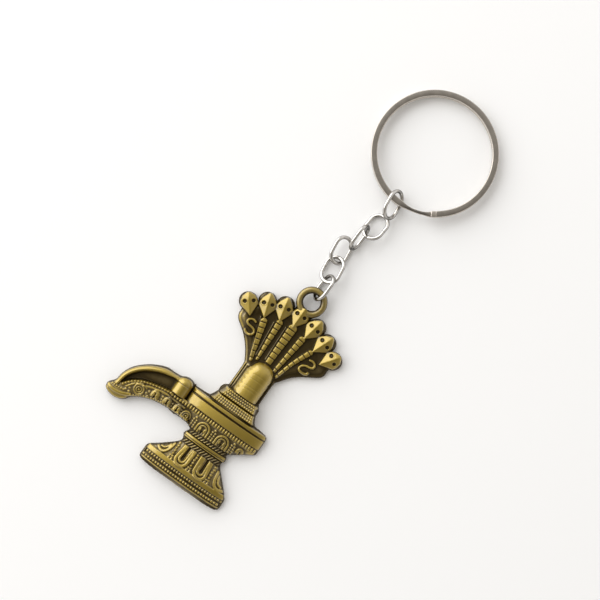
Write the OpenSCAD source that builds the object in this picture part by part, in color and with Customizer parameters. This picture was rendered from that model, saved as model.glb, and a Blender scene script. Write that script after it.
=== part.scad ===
// Souvenir key ring: a half-relief cast charm (seven-headed serpent hood over a
// domed pillar on a spouted basin and flared foot), six oval chain links and a
// flat-wire split ring. Millimetres. Lying on its flat back: +Z up off the
// table, +Y from the foot toward the key ring, +X to the charm's right, origin
// on the flat back behind the middle of the basin.

/* [View] */
// Which node to show

/* [Charm] */
// thickness of the flat backing all round the relief
back_t = 1.5; // [1.2:0.1:2.2]
// height of the relief at the crown of the foot
foot_z = 3.4; // [2.6:0.1:4.2]
// height of the relief at the crown of the basin band
basin_z = 3.8; // [3.0:0.1:4.6]
// radius of the domed pillar
pillar_r = 3.1; // [2.6:0.1:3.6]
// height of the pillar's axis above the back
pillar_axis_z = 1.3; // [0.8:0.1:1.8]
// Y of the centre of the pillar's dome
dome_y = 12.8; // [12:0.1:13.5]
// slope of the two facets of a serpent head
facet_slope = 0.62; // [0.4:0.02:0.9]
// radius of the drilled eye pits
eye_r = 0.38; // [0.25:0.01:0.5]

/* [Eyelet] */
// X of the eyelet centre
eyelet_x = 0.55; // [0:0.05:1]
// Y of the eyelet centre
eyelet_y = 33.65; // [33:0.05:34.5]
// height of the eyelet's mid-plane over the back
eyelet_z = 2.0; // [1.6:0.05:2.4]
// radius from the eyelet's centre to the middle of its bar
eyelet_ring_r = 2.84; // [2.6:0.02:3.2]
// radius of the eyelet's round bar
eyelet_bar_r = 0.83; // [0.6:0.01:0.9]

/* [Chain] */
// wire diameter of every link
wire_d = 0.9; // [0.7:0.05:1.0]
// width between the two leg centres of a link
link_w = 4.4; // [4:0.1:5]
// length of a link's straight legs
link_s = 2.0; // [1.6:0.1:2.6]
// width between the leg centres of the larger end link
end_link_w = 4.9; // [4.6:0.1:5.4]
// straight leg length of the larger end link
end_link_s = 1.9; // [1.6:0.1:2.6]

/* [Split ring] */
// outer diameter of the split ring
ring_od = 29.75; // [28:0.05:32]
// radial width of the flat wire
ring_wire_w = 1.45; // [1.2:0.05:1.8]
// thickness of one turn of the flat wire
ring_wire_t = 1.0; // [0.8:0.05:1.3]
// gap between the two turns
ring_gap = 0.05; // [0.03:0.01:0.1]
// angle where the crossing starts, seen from above
ramp_from = 270; // [260:1:280]
// length of the crossing as an angle
ramp_span = 36; // [25:1:50]

/* [Hidden] */
$fn = 64;
eps = 0.01;
// X of the foot's middle, and the radius that its front is part of
foot_x = -0.6;
foot_R = 36;
bronze = [0.60, 0.52, 0.27];
nickel = [0.80, 0.79, 0.77];
steel = [0.62, 0.59, 0.55];

// x, y, z of the centre, then turn about Z, tilt and roll about its own length
link_at = [
    [0.86, 38.02, 2.44, -1, 1, -61],
    [0.11, 42.60, 1.66, 8, -6.5, -24.5],
    [-0.82, 47.46, 1.72, 7, -3, 32],
    [0.89, 52.26, 2.67, -1, 4, 69],
    [2.57, 56.52, 1.69, -5, -14, -21.5],
    [2.88, 62.97, 2.66, 4.5, -10.5, 52]
];

// tip x, y and turn of each serpent head, left to right
heads = [
    [-9.35, 22.9, 38], [-6.4, 24.3, 19], [-3.0, 25.6, 14], [0.3, 26.3, 0],
    [4.0, 25.7, -11], [7.3, 24.3, -21.5], [10.2, 22.8, -37]
];

// foot x, y, then top x, y, then the radius at foot and top of each neck
necks = [
    [-2.9, 15.2, -5.9, 23.8, 0.36, 0.62], [-2.1, 16.0, -2.7, 25.2, 0.42, 0.66],
    [0.35, 15.4, 0.45, 26.2, 0.55, 1.05], [2.7, 16.0, 3.8, 25.2, 0.45, 0.80],
    [4.0, 15.2, 7.0, 23.8, 0.42, 0.66]
];

// how far a round of radius r falls away at x from its crown
function drop(r, x) = r - sqrt(r * r - x * x);

// ---------------------------------------------------------------- outlines

module foot_outline() {
    polygon([
        [-11.8, -15.8], [-11.8, -18.3], [-11.2, -18.9], [-5.5, -19.3],
        [0, -19.45], [5, -19.35], [10.1, -18.95], [10.6, -18.4],
        [10.6, -16.0], [10.3, -15.4], [5.3, -10.2], [5.1, -6.4],
        [-5.9, -6.4], [-5.7, -10.2], [-11.5, -15.1]
    ]);
}

module basin_outline() {
    polygon([
        [-10.6, 2.15], [-6.4, 2.4], [6.4, 2.3], [9.9, 1.95], [10.4, 1.3],
        [10.4, -3.1], [5.2, -6.6], [-6.1, -6.5], [-10.6, -5.95]
    ]);
}

module spout_outline() {
    polygon([
        [-10.4, 2.15], [-11.2, 2.6], [-12.3, 2.8], [-13.4, 2.55],
        [-14.5, 2.0], [-17.8, 1.9], [-20, 1.15], [-22, 0], [-24, -1.7],
        [-25.3, -3.4], [-26.1, -5.3], [-26.4, -7.2], [-27.3, -8.4],
        [-27.6, -9.4], [-27.1, -10.3], [-25.9, -10.85], [-24.5, -10.95],
        [-23, -10.6], [-21.9, -9.8], [-21.3, -8.85], [-20.2, -8],
        [-18.7, -7.2], [-16.9, -6.55], [-15, -6.15], [-12.5, -5.9],
        [-10.4, -5.95]
    ]);
}

module channel_outline() {
    polygon([
        [-14.7, 0.8], [-17, 0.35], [-20, -0.95], [-22.5, -2.4],
        [-24.2, -4.1], [-24.9, -5.6], [-25.0, -6.9], [-23.6, -5.4],
        [-21, -3.9], [-18, -3.0], [-14.7, -2.2]
    ]);
}

module column_outline() {
    polygon([
        [-4.2, 6.9], [-4.2, 13.2], [4.3, 13.2], [4.3, 6.9], [5.2, 5.6],
        [5.3, 4.4], [6.5, 2.1], [-6.5, 2.1], [-5.6, 4.2], [-5.4, 5.6]
    ]);
}

module hood_outline() {
    polygon([
        [-4.2, 13], [-4.9, 14.3], [-5.8, 15.7], [-7, 17.2], [-8.5, 18.7],
        [-10, 19.8], [-11.2, 20.6], [-11.8, 21.5], [-11.9, 24], [-8, 28],
        [-3, 30], [4, 30], [9, 28], [12.7, 24], [12.7, 21], [12, 20.1],
        [10.8, 19.3], [9, 18.2], [7.5, 17.1], [6.2, 15.7], [5.2, 14.2],
        [4.3, 13]
    ]);
    for (h = heads)
        translate([h[0], h[1]]) rotate(h[2]) translate([0, 3.5]) circle(r = 2.2);
}

// ------------------------------------------------------------ relief parts

// a bar whose front is part of a large round, lying across the charm
module round_front(x0, x1, y0, y1, crown_z, edge_z) {
    hw = (x1 - x0) / 2;
    rise = crown_z - edge_z;
    r = (hw * hw + rise * rise) / (2 * rise);
    intersection() {
        translate([x0, y0, 0]) cube([x1 - x0, y1 - y0, crown_z + 1]);
        translate([(x0 + x1) / 2, y0 - 1, crown_z - r])
            rotate([-90, 0, 0]) cylinder(r = r, h = y1 - y0 + 2, $fn = 180);
    }
}

// a row of upright half-round beads on the same kind of front
module bead_row(x0, x1, y0, y1, crown_z, edge_z, n, r) {
    hw = (x1 - x0) / 2;
    rise = crown_z - edge_z;
    R = (hw * hw + rise * rise) / (2 * rise);
    a = asin(hw / R);
    translate([(x0 + x1) / 2, y1, crown_z - R]) rotate([90, 0, 0])
        linear_extrude(y1 - y0)
            for (i = [0 : n - 1])
                rotate(90 - a + 2 * a * (i + 0.5) / n)
                    translate([R - 0.05, 0]) circle(r = r, $fn = 16);
}

module foot() {
    difference() {
        intersection() {
            linear_extrude(6) foot_outline();
            translate([foot_x, -25, foot_z - foot_R])
                rotate([-90, 0, 0]) cylinder(r = foot_R, h = 20, $fn = 180);
        }
        // the waist is drawn in
        translate([-20, -8.6, foot_z - 0.7 + 12]) rotate([0, 90, 0])
            cylinder(r = 12, h = 40, $fn = 120);
        // bevelled rim under the bead rows
        translate([-20, -19.6, foot_z - 1.0]) rotate([50, 0, 0])
            cube([40, 4, 3]);
    }
    for (y = [-17.9, -16.85])
        bead_row(foot_x - 10.9, foot_x + 10.9, y, y + 0.65, foot_z,
            foot_z - drop(foot_R, 10.9), 30, 0.3);
    // thin ring and two rope bands round the waist
    round_front(-6.2, 5.4, -8.65, -7.6, foot_z - 0.3, 1.2);
    bead_row(-5.7, 5.0, -10.1, -8.95, foot_z - 0.75, 1.2, 15, 0.33);
    bead_row(-5.7, 5.0, -7.35, -6.55, foot_z - 0.6, 1.2, 15, 0.33);
}

// a petal: a U-shaped ridge, open end up
module petal(x, y_top, y_bend, R, r, z) {
    translate([x, y_bend, z]) {
        rotate([0, 0, 180]) rotate_extrude(angle = 180)
            translate([R, 0]) circle(r = r, $fn = 20);
        for (s = [-1, 1])
            translate([s * R, 0, 0]) rotate([-90, 0, 0])
                cylinder(r = r, h = y_top - y_bend, $fn = 20);
    }
}

module petals() {
    for (x = [-3.1, 2.3]) {
        petal(x, -10.4, -13.5, 1.3, 0.34, foot_z - drop(foot_R, x - foot_x) - 0.15);
        petal(x, -10.4, -13.1, 0.6, 0.28, foot_z - drop(foot_R, x - foot_x) - 0.05);
    }
    for (x = [-5.7, -0.5, 4.6])
        for (k = [0 : 4])
            translate([x, -14.6 + k * 0.85,
                    foot_z - drop(foot_R, x - foot_x) - 0.2])
                sphere(r = 0.36, $fn = 16);
    // outer petals follow the flare
    for (s = [-1, 1])
        translate([foot_x + s * 7.4, -13.1, foot_z - drop(foot_R, 7.4) - 0.1])
            rotate([0, 0, s > 0 ? 200 : 160]) rotate_extrude(angle = 180)
                translate([1.15, 0]) circle(r = 0.34, $fn = 20);
}

// a round medallion with two upright petals inside
module medallion(x, y, z, R) {
    translate([x, y, z]) {
        rotate_extrude() translate([R, 0]) circle(r = 0.26, $fn = 20);
        for (s = [-0.42, 0.42])
            translate([s, -0.45, 0]) rotate([-90, 0, 0])
                cylinder(r = 0.27, h = 0.9, $fn = 20);
    }
}

module basin() {
    // smooth band, a fine groove over it and the top lip
    round_front(-10.4, 10.4, -1.75, 0.65, basin_z, 1.6);
    round_front(-10.4, 10.4, 0.6, 0.95, basin_z - 0.3, 1.4);
    round_front(-10.4, 10.4, 0.9, 1.9, basin_z + 0.2, 1.8);
    round_front(-10.4, 10.4, -3.1, -1.7, basin_z - 0.5, 1.4);
    bead_row(-10.3, 10.3, -2.95, -1.85, basin_z - 0.35, 1.55, 30, 0.29);
    // tapering underside, drawn in to the waist
    intersection() {
        linear_extrude(6) basin_outline();
        round_front(-10.4, 10.4, -6.4, -3, basin_z - 0.7, 1.4);
    }
    medallion(-3.0, -4.8, basin_z - 0.75, 1.35);
    medallion(2.4, -4.8, basin_z - 0.72, 1.35);
    medallion(-8.1, -4.6, 2.15, 1.1);
    for (x = [-5.6, -0.3, 5.1])
        for (k = [0 : 3])
            translate([x, -3.6 - k * 0.75, abs(x) > 2 ? 2.75 : 3.05])
                sphere(r = 0.35, $fn = 16);
}

module spout() {
    difference() {
        linear_extrude(2.3) spout_outline();
        translate([0, 0, 1.0]) linear_extrude(3) channel_outline();
    }
    // upright boss where the spout leaves the basin
    translate([-12.55, -2.2, 1.3]) rotate([-90, 0, 0])
        cylinder(r = 1.95, h = 3.6, $fn = 48);
    translate([-12.55, 0.75, 1.3]) sphere(r = 1.95, $fn = 48);
    // rolled rim over the channel: four bars and their joints
    rim = [[-14.8, 1.3], [-17.6, 1.05], [-20.4, 0.05], [-23.2, -1.95],
        [-25.1, -4.5], [-25.75, -7.3]];
    for (i = [0 : 4]) {
        d = rim[i + 1] - rim[i];
        translate([rim[i][0], rim[i][1], 2.2]) {
            rotate([0, 0, atan2(d[1], d[0])]) rotate([0, 90, 0])
                cylinder(r = 0.55, h = norm(d), $fn = 24);
            sphere(r = 0.55, $fn = 24);
        }
    }
    // ridge round the nose
    translate([-24.4, -6.6, 2.1]) rotate([0, 0, 205])
        rotate_extrude(angle = 115) translate([2.75, 0]) circle(r = 0.5, $fn = 24);
    // bead rows under the channel and along the lower edge
    under = [[-15.4, -2.55], [-16.4, -2.8], [-17.4, -3.05], [-18.4, -3.3],
        [-19.4, -3.6], [-20.4, -3.95], [-21.4, -4.4], [-22.3, -4.95],
        [-23.1, -5.6], [-23.9, -6.4]];
    for (p = under)
        translate([p[0], p[1], 2.3]) cylinder(r = 0.36, h = 0.3, $fn = 12);
    lower = [[-9.4, -5.5], [-10.4, -5.45], [-11.4, -5.45], [-12.4, -5.45],
        [-13.4, -5.5], [-14.4, -5.6], [-15.4, -5.75], [-16.4, -5.95],
        [-17.4, -6.25], [-18.4, -6.6], [-22.4, -8.2]];
    for (p = lower)
        translate([p[0], p[1], 2.3]) cylinder(r = 0.34, h = 0.25, $fn = 12);
    medallion(-20.5, -5.9, 2.35, 1.2);
    medallion(-16.4, -4.6, 2.35, 0.85);
    medallion(-12.6, -4.1, 2.35, 0.85);
}

module collar() {
    // two stepped blocks of beaded rings
    round_front(-4.7, 4.9, 3.5, 6.5, 3.9, 1.3);
    round_front(-5.9, 5.9, 1.5, 4.25, 4.1, 1.3);
    for (y = [4.6, 5.3, 6.0])
        bead_row(-4.7, 4.9, y - 0.25, y + 0.25, 3.95, 1.4, 15, 0.26);
    for (y = [2.4, 3.1, 3.8])
        bead_row(-5.8, 5.8, y - 0.25, y + 0.25, 4.15, 1.4, 18, 0.26);
}

module pillar() {
    difference() {
        union() {
            translate([0.5, 6.3, pillar_axis_z]) rotate([-90, 0, 0])
                cylinder(r = pillar_r, h = dome_y - 6.3, $fn = 96);
            translate([0.5, dome_y, pillar_axis_z])
                sphere(r = pillar_r, $fn = 96);
        }
        // three fine lines round the front
        for (y = [8.7, 11.2, 12.5])
            translate([0.5, y, pillar_axis_z]) rotate([-90, 0, 0])
                difference() {
                    cylinder(r = pillar_r + 1, h = 0.16, $fn = 96);
                    translate([0, 0, -1])
                        cylinder(r = pillar_r - 0.12, h = 3, $fn = 96);
                }
    }
    // scalloped edge on the left
    for (y = [7.6, 8.8, 10, 11.2, 12.4])
        translate([-2.75, y, 2.0]) sphere(r = 0.6, $fn = 24);
}

// one serpent head: a kite with a raised ridge and two drilled eyes
module head() {
    difference() {
        intersection() {
            linear_extrude(6)
                polygon([[0, 0], [2, 3], [1.65, 4.5], [0.6, 5.5],
                    [-0.6, 5.5], [-1.65, 4.5], [-2, 3]]);
            translate([0, -1, 2.35]) rotate([11, 0, 0])
                translate([0, 9, 0]) rotate([90, 0, 0]) linear_extrude(10)
                    polygon([[0, 0], [4, -4 * facet_slope], [4, -5],
                        [-4, -5], [-4, -4 * facet_slope]]);
        }
        for (s = [-1, 1])
            translate([s * 1.05, 3.5, 2.0]) cylinder(r = eye_r, h = 4, $fn = 24);
    }
}

// a neck: a tapering round bar with a groove between its scutes
module neck(n) {
    dx = n[2] - n[0];
    dy = n[3] - n[1];
    L = norm([dx, dy]);
    k = 7;
    translate([n[0], n[1], 1.75]) rotate([0, 0, atan2(dy, dx) - 90])
        rotate([-90, 0, 0]) rotate_extrude($fn = 32)
            polygon(concat(
                [[0, 0]],
                [for (i = [0 : k - 1]) for (j = [0 : 2])
                    let (t = (i + [0, 0.18, 0.82][j]) / k)
                        [(n[4] + (n[5] - n[4]) * t) * (j == 0 ? 0.8 : 1), L * t]],
                [[n[5] * 0.8, L], [0, L]]
            ));
}

// a scroll ornament: two arcs and the bar between them
module scroll() {
    rotate([0, 0, 55]) rotate_extrude(angle = 215)
        translate([0.95, 0]) circle(r = 0.3, $fn = 20);
    hull() for (x = [0, 1]) translate([x, -0.95, 0]) sphere(r = 0.36, $fn = 18);
    translate([1.0, -1.85, 0]) rotate([0, 0, -130]) rotate_extrude(angle = 220)
        translate([0.9, 0]) circle(r = 0.3, $fn = 20);
}

module hood() {
    for (h = heads) translate([h[0], h[1], 0]) rotate([0, 0, h[2]]) head();
    for (n = necks) neck(n);
    translate([-8.2, 21.55, 1.6]) scroll();
    translate([9.0, 21.55, 1.6]) mirror([1, 0, 0]) scroll();
}

module eyelet() {
    translate([eyelet_x, eyelet_y, eyelet_z]) rotate_extrude($fn = 72)
        translate([eyelet_ring_r, 0]) circle(r = eyelet_bar_r, $fn = 32);
    // lug that joins it to the hood behind the middle head
    translate([-1.9, 28.6, 0.9]) cube([4.9, 2.7, 1.7]);
}

// One solid casting.
module charm() {
    color(bronze) intersection() {
        union() {
            linear_extrude(back_t) {
                foot_outline();
                basin_outline();
                column_outline();
                hood_outline();
            }
            foot();
            petals();
            basin();
            spout();
            collar();
            pillar();
            hood();
            eyelet();
        }
        translate([-40, -40, 0]) cube([80, 90, 12]);
    }
}

// ------------------------------------------------------------------- chain

// one closed oval link of round wire, long way along Y
module oval(w, s) {
    for (m = [0, 1]) mirror([0, m, 0]) translate([0, s / 2, 0])
        rotate_extrude(angle = 180, $fn = 48)
            translate([w / 2, 0]) circle(d = wire_d, $fn = 24);
    for (m = [-1, 1]) translate([m * w / 2, -s / 2, 0])
        rotate([-90, 0, 0]) cylinder(d = wire_d, h = s, $fn = 24);
}

module placed(p) {
    translate([p[0], p[1], p[2]]) rotate([0, 0, p[3]])
        rotate([p[4], 0, 0]) rotate([0, p[5], 0]) children();
}

// Link through the charm's eyelet.
module link_1() { color(nickel) placed(link_at[0]) oval(link_w, link_s); }

// Second link.
module link_2() { color(nickel) placed(link_at[1]) oval(link_w, link_s); }

// Third link.
module link_3() { color(nickel) placed(link_at[2]) oval(link_w, link_s); }

// Fourth link, nearly on edge.
module link_4() { color(nickel) placed(link_at[3]) oval(link_w, link_s); }

// Fifth link.
module link_5() { color(nickel) placed(link_at[4]) oval(link_w, link_s); }

// Larger end link round the split ring's wire.
module link_6() { color(nickel) placed(link_at[5]) oval(end_link_w, end_link_s); }

// -------------------------------------------------------------- split ring

ring_r = (ring_od - ring_wire_w) / 2;
ring_tilt = -2.6;
ring_z = 1.71;

module coil(z0) {
    rotate([0, 0, ramp_from + ramp_span]) translate([0, 0, z0])
        rotate_extrude(angle = 360 - ramp_span, $fn = 144)
            translate([ring_r - ring_wire_w / 2, 0])
                square([ring_wire_w, ring_wire_t]);
}

module ramp_slice(t) {
    s = min(1, max(0, (t - ramp_from) / ramp_span));
    e = s * s * (3 - 2 * s);
    half = (ring_wire_t + ring_gap) / 2;
    rotate([0, 0, t])
        translate([ring_r, 0, half * (1 - 2 * e)])
            cube([ring_wire_w - 0.16, 0.04, ring_wire_t - 0.04], center = true);
}

// Flat wire wound twice round, with one crossing and two free ends.
module split_ring() {
    color(steel) translate([3.9, 78.3, ring_z]) rotate([ring_tilt, 0, 0]) {
        coil(ring_gap / 2);
        coil(-ring_gap / 2 - ring_wire_t);
        k = 6;
        for (i = [0 : k - 1]) {
            t0 = ramp_from - 0.6 + (ramp_span + 1.2) * i / k;
            t1 = ramp_from - 0.6 + (ramp_span + 1.2) * (i + 1) / k;
            hull() { ramp_slice(t0); ramp_slice(t1); }
        }
    }
}

// -------------------------------------------------------------- every node
charm();
link_1();
link_2();
link_3();
link_4();
link_5();
link_6();
split_ring();
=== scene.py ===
import math

import bpy
import numpy as np
from mathutils import Matrix, Vector


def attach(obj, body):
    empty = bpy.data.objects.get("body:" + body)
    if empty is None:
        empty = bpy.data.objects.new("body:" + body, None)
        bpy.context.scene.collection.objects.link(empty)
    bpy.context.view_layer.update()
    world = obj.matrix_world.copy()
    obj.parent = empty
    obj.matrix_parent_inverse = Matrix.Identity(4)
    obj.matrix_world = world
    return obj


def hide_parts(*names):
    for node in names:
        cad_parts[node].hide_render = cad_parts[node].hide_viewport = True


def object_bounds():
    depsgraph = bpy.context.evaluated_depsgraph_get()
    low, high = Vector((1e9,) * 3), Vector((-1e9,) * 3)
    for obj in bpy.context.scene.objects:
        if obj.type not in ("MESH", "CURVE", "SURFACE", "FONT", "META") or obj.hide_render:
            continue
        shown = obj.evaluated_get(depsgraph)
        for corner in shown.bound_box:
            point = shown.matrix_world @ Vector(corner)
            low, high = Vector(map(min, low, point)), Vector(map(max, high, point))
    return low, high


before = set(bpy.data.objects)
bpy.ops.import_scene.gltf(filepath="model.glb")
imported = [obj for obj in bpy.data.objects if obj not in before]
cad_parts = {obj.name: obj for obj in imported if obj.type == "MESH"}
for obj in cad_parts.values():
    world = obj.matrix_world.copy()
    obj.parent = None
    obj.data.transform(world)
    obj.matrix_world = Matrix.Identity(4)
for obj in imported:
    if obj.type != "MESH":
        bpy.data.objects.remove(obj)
cad_lo, cad_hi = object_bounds()
MM = 0.001
rng = np.random.default_rng(7)

# ------------------------------------------------------------------ camera
cam_data = bpy.data.cameras.new("camera")
cam = bpy.data.objects.new("camera", cam_data)
bpy.context.scene.collection.objects.link(cam)
CAM_D = 0.300
TURN = math.radians(35.3)
cam.location = (-0.0020, 0.0325, CAM_D + 0.002)
cam.rotation_euler = (0, 0, TURN)
cam_data.sensor_width = 36
cam_data.lens = 36 * CAM_D / 0.13932
cam_data.clip_start = 0.01
cam_data.clip_end = 5
bpy.context.scene.camera = cam

# ------------------------------------------------------- relief of the charm
STEP = 0.085
GX = np.arange(-28.4, 15.6, STEP)
GY = np.arange(-20.2, 32.6, STEP)
X, Y = np.meshgrid(GX, GY, indexing="ij")
NX, NY = X.shape


def spline(pts, n=6, closed=False):
    """Points of a centripetal-like Catmull-Rom curve through pts."""
    P = np.asarray(pts, float)
    if closed:
        Q = np.vstack([P[-1], P, P[0], P[1]])
    else:
        Q = np.vstack([2 * P[0] - P[1], P, 2 * P[-1] - P[-2]])
    out = []
    for i in range(1, len(Q) - 2):
        p0, p1, p2, p3 = Q[i - 1], Q[i], Q[i + 1], Q[i + 2]
        for k in range(n):
            t = k / n
            out.append(
                0.5
                * (
                    2 * p1
                    + (p2 - p0) * t
                    + (2 * p0 - 5 * p1 + 4 * p2 - p3) * t * t
                    + (3 * p1 - p0 - 3 * p2 + p3) * t**3
                )
            )
    if not closed:
        out.append(P[-1])
    return np.array(out)


def window(x0, x1, y0, y1):
    i0 = max(0, int((x0 - GX[0]) / STEP))
    i1 = min(NX, int((x1 - GX[0]) / STEP) + 2)
    j0 = max(0, int((y0 - GY[0]) / STEP))
    j1 = min(NY, int((y1 - GY[0]) / STEP) + 2)
    return slice(i0, i1), slice(j0, j1)


def around(P, pad):
    P = np.asarray(P)
    return window(
        P[:, 0].min() - pad, P[:, 0].max() + pad, P[:, 1].min() - pad, P[:, 1].max() + pad
    )


def seg_dist(P, x, y, closed=False, run=False):
    """Distance to a polyline, and with run the length along it of the nearest point."""
    P = np.asarray(P, float)
    B = np.roll(P, -1, 0) if closed else P[1:]
    A = P if closed else P[:-1]
    best = np.full(x.shape, 1e9)
    along = np.zeros(x.shape)
    s = 0.0
    for a, b in zip(A, B):
        d = b - a
        L2 = float(d @ d)
        if L2 < 1e-12:
            continue
        t = np.clip(((x - a[0]) * d[0] + (y - a[1]) * d[1]) / L2, 0, 1)
        q = np.hypot(x - a[0] - t * d[0], y - a[1] - t * d[1])
        if run:
            m = q < best
            along = np.where(m, s + t * math.sqrt(L2), along)
        best = np.minimum(best, q)
        s += math.sqrt(L2)
    return (best, along) if run else best


def inside(P, x, y):
    P = np.asarray(P, float)
    c = np.zeros(x.shape, bool)
    for a, b in zip(P, np.roll(P, -1, 0)):
        if a[1] == b[1]:
            continue
        m = ((a[1] > y) != (b[1] > y)) & (
            x < (b[0] - a[0]) * (y - a[1]) / (b[1] - a[1]) + a[0]
        )
        c ^= m
    return c


def area(P, pad=1.2):
    """Signed distance to a closed outline over the whole grid, inside positive."""
    out = np.full((NX, NY), -9.0)
    w = around(P, pad)
    x, y = X[w], Y[w]
    d = seg_dist(P, x, y, closed=True)
    out[w] = np.where(inside(P, x, y), d, -d)
    return out


def smooth(t):
    t = np.clip(t, 0, 1)
    return t * t * (3 - 2 * t)


def smax(a, b, k=0.1):
    h = np.clip(0.5 + 0.5 * (a - b) / k, 0, 1)
    return b + (a - b) * h + k * h * (1 - h)


def smin(a, b, k=0.1):
    return -smax(-a, -b, k)


def pulse(v, lo, hi, soft=0.12):
    return smooth((v - lo) / soft + 0.5) * smooth((hi - v) / soft + 0.5)


FOOT = spline(
    [
        (-11.75, -15.7), (-11.8, -17.0), (-11.75, -18.3), (-11.2, -18.85),
        (-8, -19.15), (-4, -19.37), (0, -19.45), (4, -19.38), (8, -19.12),
        (10.1, -18.85), (10.6, -18.3), (10.65, -17), (10.55, -15.95),
        (10.2, -15.3), (9, -13.9), (8, -12.9), (7, -11.9), (6, -10.9),
        (5.35, -10.15), (5.1, -9.5), (5.12, -9.0), (5.45, -8.6), (5.52, -8.1),
        (5.35, -7.6), (5.02, -7.3), (5.0, -6.9), (5.2, -6.4), (4, -5),
        (-4.5, -5), (-5.9, -6.2), (-5.65, -7.0), (-6.0, -7.6), (-6.28, -8.3),
        (-6.0, -8.9), (-5.75, -9.4), (-5.75, -10.0), (-6.2, -10.7),
        (-8, -12.35), (-10, -14.0), (-11.3, -14.95),
    ],
    4, True,
)
BASIN = np.array(
    [
        (-11, 2.15), (-8, 2.25), (-6.4, 2.4), (6.4, 2.3), (8.5, 2.15),
        (9.7, 2.0), (10.2, 1.7), (10.42, 1.2), (10.45, 0.5), (10.45, -2.8),
        (10.35, -3.15), (10.0, -3.45), (8, -4.75), (5.8, -6.3), (5.2, -6.65),
        (-5.9, -6.65), (-6.6, -6.25), (-8.5, -6.0), (-11, -5.95),
    ]
)
SPOUT = spline(
    [
        (-10.2, 2.1), (-10.8, 2.35), (-11.5, 2.7), (-12.4, 2.82), (-13.3, 2.62),
        (-14.3, 2.1), (-15.6, 1.95), (-17.6, 1.92), (-18.4, 1.78), (-20, 1.15),
        (-22, 0.0), (-24, -1.7), (-25.3, -3.4), (-26.05, -5.3), (-26.3, -7.0),
        (-26.8, -7.85), (-27.45, -8.6), (-27.6, -9.4), (-27.15, -10.25),
        (-25.9, -10.82), (-24.5, -10.93), (-23, -10.58), (-21.95, -9.85),
        (-21.3, -8.9), (-20.2, -8.05), (-18.7, -7.22), (-16.9, -6.55),
        (-15, -6.15), (-12.5, -5.92), (-10.2, -5.95), (-9.6, -2),
    ],
    4, True,
)
COLUMN = np.array(
    [
        (-4.2, 6.95), (-4.18, 10), (-4.2, 13.2), (4.3, 13.2), (4.28, 10),
        (4.3, 6.95), (4.75, 6.4), (5.15, 5.7), (5.22, 5.0), (5.25, 4.4),
        (5.6, 3.6), (6.05, 2.8), (6.6, 2.2), (6.6, 1), (-6.6, 1), (-6.6, 2.2),
        (-6.1, 3.0), (-5.75, 3.7), (-5.45, 4.4), (-5.5, 5.5), (-5.2, 6.2),
        (-4.7, 6.6),
    ]
)
HOOD = np.vstack([spline(
    [
        (-4.2, 12.6), (-4.35, 13.3), (-4.9, 14.3), (-5.8, 15.7), (-7, 17.2),
        (-8.5, 18.65), (-10, 19.75), (-11.1, 20.5), (-11.75, 21.4),
        (-11.95, 22.5), (-11.6, 24.5), (-8, 28), (-3, 29.8), (4, 29.8),
        (9, 28), (12.4, 24.5), (12.85, 22.4), (12.75, 21.0), (12.0, 20.1),
        (10.8, 19.3), (9, 18.2), (7.5, 17.05), (6.2, 15.7), (5.2, 14.25),
        (4.45, 13.3), (4.3, 12.6),
    ],
    4,
), [(3.0, 11.5), (-3.0, 11.5)]])
# tip, outer end of the ridge, and half width of each head
HEADS = [
    ((-9.35, 22.85), (-12.75, 27.15), 2.05),
    ((-6.4, 24.25), (-8.3, 29.85), 2.05),
    ((-3.0, 25.55), (-4.4, 31.35), 2.05),
    ((0.3, 26.2), (0.32, 31.9), 2.0),
    ((4.0, 25.65), (5.1, 31.35), 2.05),
    ((7.3, 24.3), (9.45, 29.65), 2.0),
    ((10.2, 22.75), (13.45, 27.1), 2.0),
]
PADS = [(-11.75, 25.42), (-8.0, 27.92), (-4.0, 29.5), (0.35, 29.3), (5.0, 29.42),
        (9.0, 27.82), (12.5, 25.28)]

dist_out = area(FOOT)
dist_out = smax(dist_out, area(BASIN), 0.15)
dist_out = smax(dist_out, area(SPOUT), 0.15)
dist_out = smax(dist_out, area(COLUMN), 0.15)
hood_d = area(HOOD)
dist_out = smax(dist_out, hood_d, 0.15)
pad_d = np.full((NX, NY), -9.0)
for x, y in PADS:
    pad_d = smax(pad_d, 2.22 - np.hypot(X - x, Y - y), 0.12)
dist_out = smax(dist_out, pad_d, 0.15)
lug = area(np.array([(-1.5, 29), (2.4, 29), (2.9, 30.9), (-1.9, 30.9)]))
dist_out = smax(dist_out, lug, 0.15)

# the flat backing with its drafted, rounded edge
WALL = 0.55
Z = WALL + 0.85 * np.sqrt(1 - (1 - np.clip(dist_out / 0.75, 0, 1)) ** 2)


def lathe(y0, y1, xc, a, crown, foot_z=1.0, power=0.5, soft=0.10, carve=0.3):
    """A band of a squashed round body; xc, a and crown may be arrays over Y."""
    w = window(-28, 15, y0 - 0.5, y1 + 0.5)
    x, y = X[w], Y[w]
    get = lambda v: v(y) if callable(v) else v
    t = (x - get(xc)) / get(a)
    h = foot_z + (get(crown) - foot_z) * np.clip(1 - t * t, 0, 1) ** power
    gate = pulse(y, y0, y1, soft) * (np.abs(t) < 1)
    z = Z[w]
    Z[w] = np.where(gate > 0, z + (np.maximum(h, z if carve is None else h) - z) * gate, z)


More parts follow.
